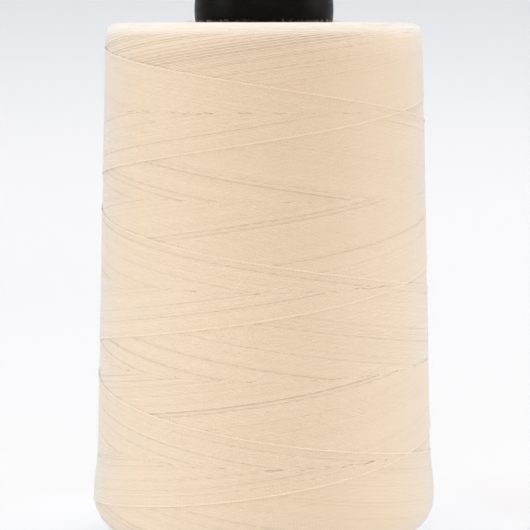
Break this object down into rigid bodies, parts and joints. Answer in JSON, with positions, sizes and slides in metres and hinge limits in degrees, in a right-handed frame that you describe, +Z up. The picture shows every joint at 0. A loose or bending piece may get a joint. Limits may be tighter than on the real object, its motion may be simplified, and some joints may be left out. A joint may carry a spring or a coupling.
{
  "type": "cross-wound cone of sewing thread",
  "caption": "Tall cone of ecru sewing thread, cross wound on a black moulded tube with a rounded nose, an open bore and a foot ring to stand on.",
  "frame": {"origin": "centre of the foot ring's underside, on the surface that the cone stands on", "axes": "+Z up along the tube's axis; X and Y across it, the thread catch on the -Y side"},
  "size_m": [0.0836, 0.0836, 0.145],
  "materials": {
    "black_plastic": "satin moulded black",
    "ecru_thread": "matte twisted yarn, slightly fuzzy"
  },
  "bodies": {
    "root": {"core_tube": "black_plastic", "wound_package": "ecru_thread", "outer_winding": "ecru_thread"}
  },
  "joints": []
}
